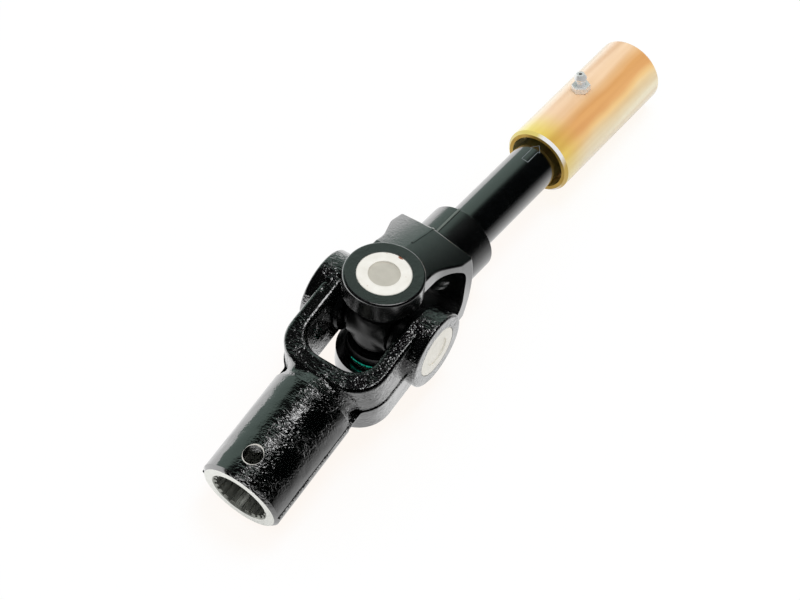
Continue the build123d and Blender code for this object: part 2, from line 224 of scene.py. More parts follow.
# Strong scale in the middle of the barrel, nearly none beside it: glints in one band, clean dark gloss on both sides.
blasted_band = [(0.0, 0.5), (0.06, 0.15), (0.1, 0.2), (0.2, 1.0), (0.5, 1.0), (0.6, 0.15), (0.94, 0.1), (1.0, 0.5)]
gloss_forging = forged_enamel("gloss_black_enamel_on_forging", 1.9, 0.85, 0.12, "#030404", "#060908", blasted_band)
# Blasted finer and sprayed: an even satin that mirrors the room softly.
satin_forging = forged_enamel("satin_black_enamel_on_forging", 3.0, 0.05, 0.2, "#040606", "#080B0B")
crowned_forging = forged_enamel("satin_black_enamel_on_crowned_arm", 3.0, 0.05, 0.2, "#040606", "#080B0B", None, 9.0)
# A thick dip with no clear coat: duller than the yokes, so the cross stays dark between them.
dipped_forging = forged_enamel("dipped_black_enamel_on_cross", 4.0, 0.04, 0.3, "#050606", "#0A0A09")
plug(dipped_forging.node_tree, dipped_forging.node_tree.nodes["Principled BSDF"], {"IOR": 1.6, "Coat_Weight": 0.0})
# A painted highlight on the parting line: its faces are a mid grey, which shows as a thin grey line of light along the
# seam.
seam_with_painted_highlight = forged_enamel("enamel_with_painted_highlight_on_seam", 1.5, 0.03, 0.25, "#5A605A", "#7C827C")
print("enamels:", [m.name for m in bpy.data.materials if "enamel" in m.name])

# %% [markdown]
# ## Smooth black enamel on the turned shaft
# The shaft is turned bar, so its paint is smooth and mirrors the room in long clean lines. A faint orange peel of 1.6 mm
# stays in the gloss, as sprayed enamel leaves it.

# %% Black enamel on the shaft
shaft_enamel, tree, shader = new_material("black_enamel_on_turned_bar")
place = add(tree, "ShaderNodeTexCoord").outputs["Object"]
cloud = add(tree, "ShaderNodeTexNoise", Vector=place, Scale=per_mm(9.0), Detail=3.0)
orange_peel = add(tree, "ShaderNodeTexNoise", Vector=place, Scale=per_mm(1.6), Detail=1.0)
peel_bump = add(tree, "ShaderNodeBump", Height=orange_peel.outputs["Fac"], Strength=0.3, Distance=0.03 * MM)
tone = add(tree, "ShaderNodeValToRGB", {"stops": [(0.3, "#040607"), (0.8, "#080B0C")]}, Fac=cloud.outputs["Fac"])
polish = add(tree, "ShaderNodeValToRGB", {"stops": [(0.3, 0.14), (0.8, 0.2)]}, Fac=cloud.outputs["Fac"])
plug(tree, shader, {"Base_Color": tone.outputs[0], "Roughness": polish.outputs[0], "Normal": peel_bump.outputs["Normal"],
                    **LACQUER, "Coat_Roughness": 0.12})
print("enamel:", shaft_enamel.name)

# %% [markdown]
# ## Steel that is left bare
# Bearing caps are hardened and ground, so they are pale and clean. The hub's end was faced in a lathe and its splines were
# broached. A metal keeps its default index of refraction, and its colour is its reflectance. Fine grinding marks scatter
# light in every direction, so the ground faces are given a share of plain diffuse light, which a mirror-like metal lacks.


# %% Ground and turned steels
def bare_steel(name, dark, light, roughness, mark_mm, depth_mm, metal=1.0, stain=None):
    """Bare steel with fine machining marks, slightly uneven tone and, if asked, small stains."""
    material, tree, shader = new_material(name)
    place = add(tree, "ShaderNodeTexCoord").outputs["Object"]
    tone = add(tree, "ShaderNodeTexNoise", Vector=place, Scale=per_mm(4.0), Detail=4.0)
    marks = add(tree, "ShaderNodeTexNoise", Vector=place, Scale=per_mm(mark_mm), Detail=2.0)
    bump = add(tree, "ShaderNodeBump", Height=marks.outputs["Fac"], Strength=0.5, Distance=depth_mm * MM)
    colour = add(tree, "ShaderNodeValToRGB", {"stops": [(0.3, dark), (0.7, light)]}, Fac=tone.outputs["Fac"]).outputs[0]
    if stain:
        spots = add(tree, "ShaderNodeTexNoise", Vector=place, Scale=per_mm(2.2), Detail=3.0, Roughness=0.7)
        mask = add(tree, "ShaderNodeValToRGB", {"stops": [(0.68, 0.0), (0.78, 1.0)]}, Fac=spots.outputs["Fac"])
        stained = add(tree, "ShaderNodeMix", {"data_type": "RGBA"}, i0=mask.outputs[0], i6=colour, i7=linear(stain))
        colour = stained.outputs[2]
    polish = add(tree, "ShaderNodeValToRGB", {"stops": [(0.3, roughness), (0.8, roughness + 0.1)]}, Fac=tone.outputs["Fac"])
    plug(tree, shader, {"Base_Color": colour, "Metallic": metal, "Roughness": polish.outputs[0],
                        "Normal": bump.outputs["Normal"]})
    return material


# Ground caps are pale and clean, and an as-pressed recess is a shade darker and flatter. A lathe-faced end is as pale but
# has stains. Needles and broached splines are darker and mirror more, an oiled spring is nearly black, and zinc is white.
ground_steel = bare_steel("ground_bearing_steel", "#F2EFE6", "#FBF9F2", 0.4, 0.5, 0.01, 0.15, "#B58A62")
recess_steel = bare_steel("as_pressed_cap_recess_steel", "#D2CEC2", "#DEDACE", 0.5, 0.7, 0.02, 0.35)
faced_steel = bare_steel("lathe_faced_forging_steel", "#EEF0EA", "#FAFBF7", 0.36, 0.4, 0.03, 0.3, "#6B6A5E")
needle_steel = bare_steel("hardened_needle_steel", "#9C9C9A", "#C2C2BE", 0.22, 0.4, 0.004)
spring_steel = bare_steel("oiled_spring_steel", "#3A3A38", "#53524E", 0.34, 0.5, 0.01)
broached_steel = bare_steel("broached_spline_steel", "#8F928C", "#B9BBB3", 0.3, 0.6, 0.02, 0.8)
bright_zinc = bare_steel("bright_zinc_plate", "#F3F5F5", "#FCFDFC", 0.24, 0.6, 0.008, 0.5)
print("steels:", [m.name for m in bpy.data.materials if m.name.endswith("steel")])

# %% [markdown]
# ## Yellow passivated zinc
# The sleeve is zinc plated and dipped in yellow chromate, brass with a green cast near the mouth and peach further
# along.
# Round the tube the colour is painted light: pale cream toward either side for a painted highlight and a painted
# reflection of the floor, and a tan band of painted shade between them. Two ramps read the place round and along the
# tube, and a noise of 24 mm shifts them. Faint long streaks are the marks that the draining film left. The clear film
# is a coat of its own, which adds a real pale highlight on top.

# %% Yellow zinc
SLEEVE_RADIUS = 15.1 * MM
MOUTH_TINT = (110.3 * MM, 128.0 * MM)   # along the shaft, where brass turns into peach
TINT_DRIFT = 0.12            # how far the noise shifts the tint, as a share of the tube's width

yellow_zinc, tree, shader = new_material("yellow_passivated_zinc")
place = add(tree, "ShaderNodeTexCoord").outputs["Object"]
straight = add(tree, "ShaderNodeMapping", Vector=place, **straightened(shaft_place))
along = add(tree, "ShaderNodeSeparateXYZ", Vector=straight.outputs[0])
drift = add(tree, "ShaderNodeTexNoise", Vector=place, Scale=per_mm(24.0), Detail=2.0)
from_mouth = add(tree, "ShaderNodeMapRange", {"interpolation_type": "SMOOTHSTEP"}, Value=along.outputs["X"],
                 From_Min=MOUTH_TINT[0], From_Max=MOUTH_TINT[1])
round_bar = add(tree, "ShaderNodeMapRange", Value=along.outputs["Y"], From_Min=-SLEEVE_RADIUS, From_Max=SLEEVE_RADIUS)
drifted = add(tree, "ShaderNodeMath", {"operation": "MULTIPLY_ADD"}, i0=drift.outputs["Fac"], i1=TINT_DRIFT,
              i2=-TINT_DRIFT / 2)
place_round = add(tree, "ShaderNodeMath", {"operation": "ADD"}, i0=round_bar.outputs[0], i1=drifted.outputs[0])
# Both ramps round the tube are painted light: pale stops for the highlight and the floor's reflection, tan or gold
# stops for a band of shade.
peach_and_painted_light_stops = [(0.0, "#FFF4D4"), (0.06, "#FFE9BC"), (0.12, "#FFD592"), (0.19, "#F2B672"), (0.33, "#E9AC66"),
               (0.43, "#F6C890"), (0.52, "#FFDCB4"), (0.75, "#FFDCB8"), (0.92, "#FFF2D8")]
brass_and_painted_light_stops = [(0.0, "#FFF2B0"), (0.1, "#F8DC70"), (0.33, "#D9AE48"), (0.5, "#F8E26A"), (0.75, "#FCEE80"),
               (1.0, "#FFF8C0")]
peach_and_painted_light = add(tree, "ShaderNodeValToRGB", {"stops": peach_and_painted_light_stops}, Fac=place_round.outputs[0])
brass_and_painted_light = add(tree, "ShaderNodeValToRGB", {"stops": brass_and_painted_light_stops}, Fac=place_round.outputs[0])
tint = add(tree, "ShaderNodeMix", {"data_type": "RGBA"}, i0=from_mouth.outputs[0], i6=brass_and_painted_light.outputs[0],
           i7=peach_and_painted_light.outputs[0])
drawn_out = add(tree, "ShaderNodeMapping", Vector=straight.outputs[0], Scale=(0.07, 1.0, 1.0))
streaks = add(tree, "ShaderNodeTexNoise", Vector=drawn_out.outputs[0], Scale=per_mm(4.5), Detail=1.0)
streak_tone = add(tree, "ShaderNodeValToRGB", {"stops": [(0.34, "#DFC6A4"), (0.6, "#FFFFFF")]}, Fac=streaks.outputs["Fac"])
streaked = add(tree, "ShaderNodeMix", {"data_type": "RGBA", "blend_type": "MULTIPLY"}, i0=0.45, i6=tint.outputs[2],
               i7=streak_tone.outputs[0])
speck = add(tree, "ShaderNodeTexNoise", Vector=place, Scale=per_mm(1.2), Detail=2.0)
zinc_bump = add(tree, "ShaderNodeBump", Height=speck.outputs["Fac"], Strength=0.3, Distance=0.01 * MM)
polish = add(tree, "ShaderNodeValToRGB", {"stops": [(0.3, 0.36), (0.8, 0.46)]}, Fac=drift.outputs["Fac"])
plug(tree, shader, {"Base_Color": streaked.outputs[2], "Metallic": 0.05, "Roughness": polish.outputs[0], "Coat_Weight": 1.0,
                    "Coat_Roughness": 0.22, "Coat_IOR": 1.5, "Normal": zinc_bump.outputs["Normal"]})
print("zinc:", yellow_zinc.name)

# %% [markdown]
# The mouth of the sleeve was turned before it was plated, so its flat face is a darker and more metallic brass. Its
# chamfer
# carries a painted highlight: a copy of the zinc whose colour goes to white over one stretch round it.

# %% The mouth and the painted highlight on its edge
mouth_brass = bare_steel("yellow_passivated_zinc_on_turned_end", "#B8923A", "#D2AE52", 0.3, 0.5, 0.02, 0.6)
zinc_with_painted_edge_highlight = yellow_zinc.copy()
zinc_with_painted_edge_highlight.name = "yellow_zinc_with_painted_highlight_on_edge"
tree = zinc_with_painted_edge_highlight.node_tree
place = add(tree, "ShaderNodeTexCoord").outputs["Object"]
straight = add(tree, "ShaderNodeMapping", Vector=place, **straightened(shaft_place))
across = add(tree, "ShaderNodeSeparateXYZ", Vector=straight.outputs[0]).outputs["Y"]
round_bar = add(tree, "ShaderNodeMapRange", Value=across, From_Min=-SLEEVE_RADIUS, From_Max=SLEEVE_RADIUS)
# The white stretch of this ramp is a painted highlight on the chamfer.
painted_edge_highlight_stops = [(0.06, "#D9B653"), (0.15, "#FFFFFF"), (0.48, "#FFFFFF"), (0.58, "#F3E07A")]
painted_edge_highlight = add(tree, "ShaderNodeValToRGB", {"stops": painted_edge_highlight_stops}, Fac=round_bar.outputs[0])
plug(tree, tree.nodes["Principled BSDF"], {"Base_Color": painted_edge_highlight.outputs[0]})
print("mouth:", mouth_brass.name, zinc_with_painted_edge_highlight.name)

# %% [markdown]
# ## Rubber and marking paint
# The seal boots are black moulded rubber with a teal bead that fills the gap to the ear. Rubber has a soft, wide
# highlight and a faint dusty bloom. The teal bead also has a faint painted glow, which lifts it out of its shade. The
# arrow's paint has the same dull surface, so the same function makes it.


# %% Black and teal rubber
def rubber(name, dark, light, gloss, painted_glow=0.0):
    """Moulded rubber with a faint dusty bloom. A glow, if asked, is painted light: the rubber shines in its light
    colour though it is no lamp.
    """
    material, tree, shader = new_material(name)
    place = add(tree, "ShaderNodeTexCoord").outputs["Object"]
    bloom = add(tree, "ShaderNodeTexNoise", Vector=place, Scale=per_mm(3.0), Detail=3.0)
    bump = add(tree, "ShaderNodeBump", Height=bloom.outputs["Fac"], Strength=0.3, Distance=0.03 * MM)
    tone = add(tree, "ShaderNodeValToRGB", {"stops": [(0.3, dark), (0.7, light)]}, Fac=bloom.outputs["Fac"])
    plug(tree, shader, {"Base_Color": tone.outputs[0], "Roughness": gloss, "Normal": bump.outputs["Normal"],
                        "Emission_Color": linear(light), "Emission_Strength": painted_glow})
    return material


boot_rubber = rubber("black_moulded_rubber", "#060808", "#0C0E0E", 0.24)
# The teal bead glows at a strength of 0.2: painted light that lifts it out of its shade.
bead_rubber = rubber("teal_moulded_rubber_with_painted_glow", "#10CDAC", "#22DEBE", 0.4, 0.2)
line_paint = rubber("grey_marking_paint", "#6C7276", "#8E9497", 0.5)
print("dull:", boot_rubber.name, bead_rubber.name, line_paint.name)

# %% [markdown]
# ## Paint the solids
# Every solid gets the one material that it was made in. A second material then goes on the faces that were machined, worn
# or dipped on their own. Those faces are picked by their place and their direction in the part's straight drawing, because
# the solid's mesh carries no names for its surfaces.

# %% One material for each solid
paints = {"hub_yoke": gloss_forging, "shaft_yoke": satin_forging, "drive_shaft": shaft_enamel, "cross": dipped_forging,
          "slip_sleeve": yellow_zinc, "grease_nipple": bright_zinc, "nipple_ball": needle_steel}
bearing_paints = {"bearing_cap": ground_steel, "needle_rollers": needle_steel, "thrust_washer": needle_steel,
                  "seal_boot": boot_rubber, "snap_ring": spring_steel}
for name, node in nodes.items():
    node.data.materials.clear()
    node.data.materials.append(paints.get(name) or bearing_paints[name.rsplit("_", 1)[0]])
print("painted", len(nodes), "solids")


# %% Find and paint faces
def face_places(node, place):
    """Centres and normals of a node's faces in its own straight drawing, in millimetres, one row per face."""
    count = len(node.data.polygons)
    centres, normals = np.empty(count * 3), np.empty(count * 3)
    node.data.polygons.foreach_get("center", centres)
    node.data.polygons.foreach_get("normal", normals)
    back = np.array(place.inverted())
    centres = (centres.reshape(-1, 3) @ back[:3, :3].T + back[:3, 3]) / MM
    return centres, normals.reshape(-1, 3) @ back[:3, :3].T


def paint_faces(node, chosen, paint):
    """Gives the chosen faces, an array of true and false, one more material."""
    slots = np.empty(len(node.data.polygons), dtype=np.int32)
    node.data.polygons.foreach_get("material_index", slots)
    slots[chosen] = len(node.data.materials)
    node.data.materials.append(paint)
    node.data.polygons.foreach_set("material_index", slots)
    print(node.name, int(chosen.sum()), "faces in", paint.name)


# %% [markdown]
# The hub was dipped before its end was faced and its bore was broached, so both are bare steel. The holes for the pin were
# countersunk through the paint as well, which leaves a bright ring round each.

# %% Bare steel on the hub
BORE_RADIUS, BORE_LENGTH = 12.85, 43.0      # mm, the broached part of the bore
PIN_FROM_END, RING_INNER, RING_OUTER = 11.6, 3.95, 4.6  # mm, the pin's hole and the ring round it
hub = nodes["hub_yoke"]
centres, normals = face_places(hub, hub_place)
hub_end = centres[:, 0].min()
from_axis = np.hypot(centres[:, 1], centres[:, 2])
from_pin = np.hypot(centres[:, 0] - hub_end - PIN_FROM_END, centres[:, 1])
on_ring = (from_pin > RING_INNER) & (from_pin < RING_OUTER) & (from_axis > 16) & (abs(normals[:, 2]) > 0.2)
paint_faces(hub, (normals[:, 0] < -0.99) & (centres[:, 0] < hub_end + 0.1), faced_steel)
paint_faces(hub, (from_axis < BORE_RADIUS) & (centres[:, 0] < hub_end + BORE_LENGTH), broached_steel)
paint_faces(hub, on_ring, ground_steel)

# %% [markdown]
# Each arm of the shaft yoke slopes down from its ear to the collar, and that slope is crowned. The parting line of the
# forging on top of the arm and the collar carries a painted highlight, a thin grey line.

# %% Slopes and seam of the shaft yoke
SLOPE_START, SLOPE_END = 13, 37             # mm from the joint's centre, along the shaft
SEAM_START, SEAM_OFFSET, SEAM_HALF_WIDTH = 33, 2.6, 0.46
yoke = nodes["shaft_yoke"]
centres, normals = face_places(yoke, shaft_place)
on_slope = (normals[:, 0] > 0.2) & (abs(normals[:, 2]) > 0.9) & (centres[:, 0] > SLOPE_START) & (centres[:, 0] < SLOPE_END)
near_seam = abs(centres[:, 1] - SEAM_OFFSET) < SEAM_HALF_WIDTH
paint_faces(yoke, on_slope, crowned_forging)
# The seam's faces get the painted highlight.
paint_faces(yoke, near_seam & (centres[:, 0] > SEAM_START) & (abs(centres[:, 2]) > 15.32), seam_with_painted_highlight)

# %% [markdown]
# The sleeve's mouth has a flat turned face, which gets the darker brass, and a chamfer round it, which gets the zinc
# with its painted highlight.

# %% Face and chamfer of the sleeve's mouth
sleeve = nodes["slip_sleeve"]
centres, normals = face_places(sleeve, shaft_place)
from_axis = np.hypot(centres[:, 1], centres[:, 2])
at_mouth = centres[:, 0] < centres[:, 0].min() + 1.3
faces_out = abs(normals[:, 0]) > 0.95
paint_faces(sleeve, at_mouth & faces_out, mouth_brass)
# The chamfer gets the zinc with the painted highlight.
paint_faces(sleeve, at_mouth & ~faces_out & (from_axis > 13.9), zinc_with_painted_edge_highlight)

# %% [markdown]
# ## A rust spot on the top cap
# Bare ground steel rusts where a drop of water dries on it. The top cap has one such spot near its rim, with a ragged edge.
# It is a copy of the cap's steel in which the distance to one point, shifted by a fine noise, decides between steel and
# rust. A mask does this better than a small mesh, because the spot has no thickness.

# %% The rust spot
SPOT_CENTRE = Vector((10.5, 0, 27.4))       # mm, in the straight drawing of the shaft
SPOT_STRETCH = Vector((1.6, 0.75, 1))       # the spot is narrower along the shaft than across it
rusty = ground_steel.copy()
rusty.name = "ground_bearing_steel_with_rust_spot"
tree = rusty.node_tree
shader = tree.nodes["Principled BSDF"]
place = add(tree, "ShaderNodeTexCoord").outputs["Object"]
straight = add(tree, "ShaderNodeMapping", Vector=place, **straightened(shaft_place))
stretch = add(tree, "ShaderNodeMapping", Vector=straight.outputs[0], Location=-SPOT_CENTRE * SPOT_STRETCH * MM,
              Scale=SPOT_STRETCH)
away = add(tree, "ShaderNodeVectorMath", {"operation": "LENGTH"}, i0=stretch.outputs[0])
ragged = add(tree, "ShaderNodeTexNoise", Vector=straight.outputs[0], Scale=per_mm(0.9), Detail=2.0)
edge = add(tree, "ShaderNodeMath", {"operation": "MULTIPLY_ADD"}, i0=ragged.outputs["Fac"], i1=1.8 * MM,
           i2=away.outputs["Value"])
bite = add(tree, "ShaderNodeMapRange", Value=edge.outputs[0], From_Min=1.5 * MM, From_Max=2.1 * MM, To_Min=1.0, To_Max=0.0)
clean = shader.inputs["Base Color"].links[0].from_socket
rust = add(tree, "ShaderNodeMix", {"data_type": "RGBA"}, i0=bite.outputs[0], i6=clean, i7=linear("#9A5A3C"))
plug(tree, shader, {"Base_Color": rust.outputs[2]})
nodes["bearing_cap_top"].data.materials[0] = rusty
print("rust:", rusty.name)

# %% [markdown]
# ## Caps and boots
# A cap's recess stays as it was pressed while the rim round it is ground. The two caps in the shaft yoke show that
# difference, and the two in the hub were ground all over. The bead of the bottom boot stands out of its ear over a short
# stretch, where the teal rubber shows.

# %% Recess of the two caps in the shaft yoke
for side in ("top", "bottom"):
    cap = nodes["bearing_cap_" + side]
    centres, normals = face_places(cap, shaft_place)
    height = abs(centres[:, 2])
    paint_faces(cap, (height > 26.7) & (height < 27.0) & (abs(normals[:, 2]) > 0.9), recess_steel)

# %% Bead of the bottom boot
boot = nodes["seal_boot_bottom"]
centres, _ = face_places(boot, shaft_place)
from_axis = np.hypot(centres[:, 0], centres[:, 1])
turn = np.degrees(np.arctan2(centres[:, 1], centres[:, 0])) % 360
in_bead = (from_axis > 12.5) & (abs(centres[:, 2]) < 16.1)
paint_faces(boot, in_bead & (turn > 163) & (turn < 214), bead_rubber)

# %% [markdown]
# ## A rounded cross
# The cross is forged in one piece, and its four trunnions run into a rounded boss, dipped in the same black enamel. The
# solid model has crossing cylinders and cones with sharp valleys. A voxel remesh makes even points over them, and a smooth
# modifier rounds the valleys, as they are on a forging. A bevel is made for clean edges, and these valleys are curves where
# two round forms cross. A node's mesh is loose triangles, so a copy is merged first.

# %% Two remeshed copies of the cross, one of them smoothed
VOXEL = 0.6 * MM
SMOOTH_PASSES = 40
editor = bmesh.new()
editor.from_mesh(nodes["cross"].data)
bmesh.ops.remove_doubles(editor, verts=editor.verts, dist=1e-6)
blank = bpy.data.meshes.new("cross_blank")
editor.to_mesh(blank)
editor.free()
source = bpy.data.objects.new("cross_blank", blank)
scene.collection.objects.link(source)
voxels = source.modifiers.new("even_points", "REMESH")
voxels.mode, voxels.voxel_size, voxels.use_smooth_shade = "VOXEL", VOXEL, True
rounding = source.modifiers.new("rounding", "SMOOTH")
rounding.factor, rounding.iterations = 0.5, SMOOTH_PASSES
rounded = bpy.data.meshes.new_from_object(source.evaluated_get(bpy.context.evaluated_depsgraph_get()))
rounding.show_viewport = False
plain = bpy.data.meshes.new_from_object(source.evaluated_get(bpy.context.evaluated_depsgraph_get()))
bpy.data.objects.remove(source)
print("the cross has", len(plain.vertices), "even points")

# %% [markdown]
# The remesh and the smoothing would also fill the step where each trunnion starts, and the cross would run into the seal
# boot there. So the rounded points are used in the middle alone. Every point on a trunnion is set down on the nearest place
# of the forging's own surface, and over 1.2 mm in between the one passes into the other.

# %% The cross
ROUND_WITHIN, TRUE_BEYOND = 8.0, 9.2        # mm from the joint's centre, along a trunnion
forging = BVHTree.FromPolygons([v.co for v in blank.vertices], [list(p.vertices) for p in blank.polygons])
soft = np.array([v.co for v in rounded.vertices])
firm = np.array([forging.find_nearest(v.co)[0] for v in plain.vertices])
off_centre = (firm - np.array(joint_centre)) / MM
reach = np.maximum(abs(off_centre @ np.array(shaft_z)), abs(off_centre @ np.array(cross_y)))
share = np.interp(reach, [ROUND_WITHIN, TRUE_BEYOND], [1.0, 0.0])[:, None]
rounded.vertices.foreach_set("co", (soft * share + firm * (1 - share)).ravel())
rounded.update()
rounded.materials.clear()
rounded.materials.append(dipped_forging)
rounded.shade_smooth()
rounded.name = "rounded_cross"
cross_piece = bpy.data.objects.new("rounded_cross", rounded)
scene.collection.objects.link(cross_piece)
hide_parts("cross")
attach(cross_piece, "cross")
print("rounded_cross", len(rounded.polygons), "faces")

# %% [markdown]
# ## Needle rollers
# Each bearing cap holds a full ring of loose rollers. The solid model has plain cylinders, and real rollers have slightly
# domed ends so that they do not dig into the washer. One roller is made from a cylinder whose end points are raised, and
# Geometry Nodes repeat it round the ring, because a change to the count or size is then one number. The sizes are measured
# on the solids that the rollers replace.


# %% A node tree that sets rollers in a ring
def new_tree(name, sizes):
    """A geometry tree with a float or whole number input for each size, and its group input and output nodes."""
    tree = bpy.data.node_groups.new(name, "GeometryNodeTree")
    tree.interface.new_socket("Geometry", in_out="INPUT", socket_type="NodeSocketGeometry")
    for title, value in sizes.items():
        kind = "NodeSocketInt" if isinstance(value, int) else "NodeSocketFloat"
        tree.interface.new_socket(title, in_out="INPUT", socket_type=kind).default_value = value
    tree.interface.new_socket("Material", in_out="INPUT", socket_type="NodeSocketMaterial")
    tree.interface.new_socket("Geometry", in_out="OUTPUT", socket_type="NodeSocketGeometry")
    return tree, add(tree, "NodeGroupInput").outputs, add(tree, "NodeGroupOutput")


def grown(name, tree, start, sizes, place, node_paint):
    """Runs a geometry tree on a start mesh or curve and returns the result as a plain mesh object, put in its place."""
    source = bpy.data.objects.new(name + "_source", start)
    scene.collection.objects.link(source)
    modifier = source.modifiers.new("growth", "NODES")
    modifier.node_group = tree
    for item in tree.interface.items_tree:
        if item.in_out == "INPUT" and item.name in sizes:
            modifier[item.identifier] = sizes[item.name]
        elif item.in_out == "INPUT" and item.name == "Material":
            modifier[item.identifier] = node_paint
    seen = source.evaluated_get(bpy.context.evaluated_depsgraph_get())
    mesh = bpy.data.meshes.new_from_object(seen)
    bpy.data.objects.remove(source)
    mesh.transform(place)
    mesh.name = name
    piece = bpy.data.objects.new(name, mesh)
    scene.collection.objects.link(piece)
    print(name, len(mesh.polygons), "faces")
    return piece


roller_sizes = {"Count": 16, "Ring Radius": 8.0 * MM, "Radius": 1.5 * MM, "Length": 9.0 * MM, "Crown": 0.2 * MM}
tree, given, result = new_tree("rollers_in_a_ring", roller_sizes)
ring = add(tree, "GeometryNodeMeshCircle", Vertices=given["Count"], Radius=given["Ring Radius"])
body_length = add(tree, "ShaderNodeMath", {"operation": "MULTIPLY_ADD"}, i0=given["Crown"], i1=-2.0, i2=given["Length"])
roller = add(tree, "GeometryNodeMeshCylinder", {"fill_type": "TRIANGLE_FAN"}, Vertices=20, Side_Segments=1, Fill_Segments=2,
             Radius=given["Radius"], Depth=body_length.outputs[0])
spot = add(tree, "ShaderNodeSeparateXYZ", Vector=add(tree, "GeometryNodeInputPosition").outputs[0])
flat = add(tree, "ShaderNodeCombineXYZ", X=spot.outputs[0], Y=spot.outputs[1])
off_axis = add(tree, "ShaderNodeVectorMath", {"operation": "LENGTH"}, i0=flat.outputs[0])
share = add(tree, "ShaderNodeMath", {"operation": "DIVIDE"}, i0=off_axis.outputs["Value"], i1=given["Radius"])
fall = add(tree, "ShaderNodeMath", {"operation": "POWER"}, i0=share.outputs[0], i1=2.0)
dome = add(tree, "ShaderNodeMath", {"operation": "SUBTRACT"}, i0=1.0, i1=fall.outputs[0])
end = add(tree, "ShaderNodeMath", {"operation": "SIGN"}, i0=spot.outputs[2])
rise = add(tree, "ShaderNodeMath", {"operation": "MULTIPLY"}, i0=dome.outputs[0], i1=given["Crown"])
shift = add(tree, "ShaderNodeMath", {"operation": "MULTIPLY"}, i0=rise.outputs[0], i1=end.outputs[0])
domed = add(tree, "GeometryNodeSetPosition", Geometry=roller.outputs["Mesh"],
            Offset=add(tree, "ShaderNodeCombineXYZ", Z=shift.outputs[0]).outputs[0])
repeated = add(tree, "GeometryNodeInstanceOnPoints", Points=ring.outputs[0], Instance=domed.outputs[0])
solid = add(tree, "GeometryNodeRealizeInstances", Geometry=repeated.outputs[0])
painted = add(tree, "GeometryNodeSetMaterial", Geometry=solid.outputs[0], Material=given["Material"])
plug(tree, result, {"Geometry": painted.outputs[0]})
print(tree.name, len(tree.nodes), "nodes")

# %% Four sets of rollers
SIDES = (("top", shaft_place, 2, 1), ("bottom", shaft_place, 2, -1), ("left", hub_place, 1, 1), ("right", hub_place, 1, -1))
for side, place, out, way in SIDES:
    node = nodes["needle_rollers_" + side]
    centres, _ = face_places(node, place)
    height, from_axis = abs(centres[:, out]), np.hypot(centres[:, 0], centres[:, 3 - out])
    radius = (from_axis.max() - from_axis.min()) / 2
    sizes = dict(roller_sizes, **{"Ring Radius": (from_axis.max() + from_axis.min()) / 2 * MM, "Radius": radius * MM,
                                  "Length": (height.max() - height.min()) * MM})
    stand = Vector((0, 0, 0))
    stand[out] = way * (height.max() + height.min()) / 2 * MM
    lay = Matrix.Rotation(pi / 2, 4, "X") if out == 1 else Matrix.Identity(4)
    rollers = grown("crowned_rollers_" + side, tree, bpy.data.meshes.new("start"), sizes,
                    place @ Matrix.Translation(stand) @ lay, needle_steel)
    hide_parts(node.name)
    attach(rollers, "shaft" if out == 2 else "hub")

# %% [markdown]
# ## Lines on round bars
# The shaft carries a plain outline arrow in grey marking paint, and the hub has one raised lap where the forging folded and
# the paint stands up. Both are thin lines on a cylinder. A curve is drawn flat, with X along the bar and Y round it, and
# Geometry Nodes give it a thickness and wrap it round the bar.

# %% A node tree that wraps a line round a bar
line_sizes = {"Bar Radius": 10.0 * MM, "Width": 0.3 * MM, "Rise": 0.3, "Step": 0.3 * MM}
wrap_tree, given, result = new_tree("line_wrapped_round_a_bar", line_sizes)
fine_line = add(wrap_tree, "GeometryNodeResampleCurve", {"mode": "LENGTH"}, Curve=given["Geometry"], Length=given["Step"])
half_width = add(wrap_tree, "ShaderNodeMath", {"operation": "MULTIPLY"}, i0=given["Width"], i1=0.5)
profile = add(wrap_tree, "GeometryNodeCurvePrimitiveCircle", Resolution=8, Radius=half_width.outputs[0])
bead = add(wrap_tree, "GeometryNodeCurveToMesh", Curve=fine_line.outputs[0], Profile_Curve=profile.outputs[0],
           Fill_Caps=True)
spot = add(wrap_tree, "ShaderNodeSeparateXYZ", Vector=add(wrap_tree, "GeometryNodeInputPosition").outputs[0])
angle = add(wrap_tree, "ShaderNodeMath", {"operation": "DIVIDE"}, i0=spot.outputs[1], i1=given["Bar Radius"])
from_centre = add(wrap_tree, "ShaderNodeMath", {"operation": "MULTIPLY_ADD"}, i0=spot.outputs[2], i1=given["Rise"],
                  i2=given["Bar Radius"])
side_part = add(wrap_tree, "ShaderNodeMath", {"operation": "MULTIPLY"}, i0=from_centre.outputs[0],
                i1=add(wrap_tree, "ShaderNodeMath", {"operation": "SINE"}, i0=angle.outputs[0]).outputs[0])
up_part = add(wrap_tree, "ShaderNodeMath", {"operation": "MULTIPLY"}, i0=from_centre.outputs[0],
              i1=add(wrap_tree, "ShaderNodeMath", {"operation": "COSINE"}, i0=angle.outputs[0]).outputs[0])
wrapped = add(wrap_tree, "ShaderNodeCombineXYZ", X=spot.outputs[0], Y=side_part.outputs[0], Z=up_part.outputs[0])
bent = add(wrap_tree, "GeometryNodeSetPosition", Geometry=bead.outputs[0], Position=wrapped.outputs[0])
solid = add(wrap_tree, "GeometryNodeRealizeInstances", Geometry=bent.outputs[0])
painted = add(wrap_tree, "GeometryNodeSetMaterial", Geometry=solid.outputs[0], Material=given["Material"])
plug(wrap_tree, result, {"Geometry": painted.outputs[0]})
print(wrap_tree.name, len(wrap_tree.nodes), "nodes")


# %% The arrow and the lap
def flat_line(name, points, closed):
    """A poly curve through points of (along, round) in millimetres."""
    curve = bpy.data.curves.new(name, "CURVE")
    curve.dimensions = "3D"
    spline = curve.splines.new("POLY")
    spline.points.add(len(points) - 1)
    for point, (x, y) in zip(spline.points, points):
        point.co = (x * MM, y * MM, 0, 1)
    spline.use_cyclic_u = closed
    return curve


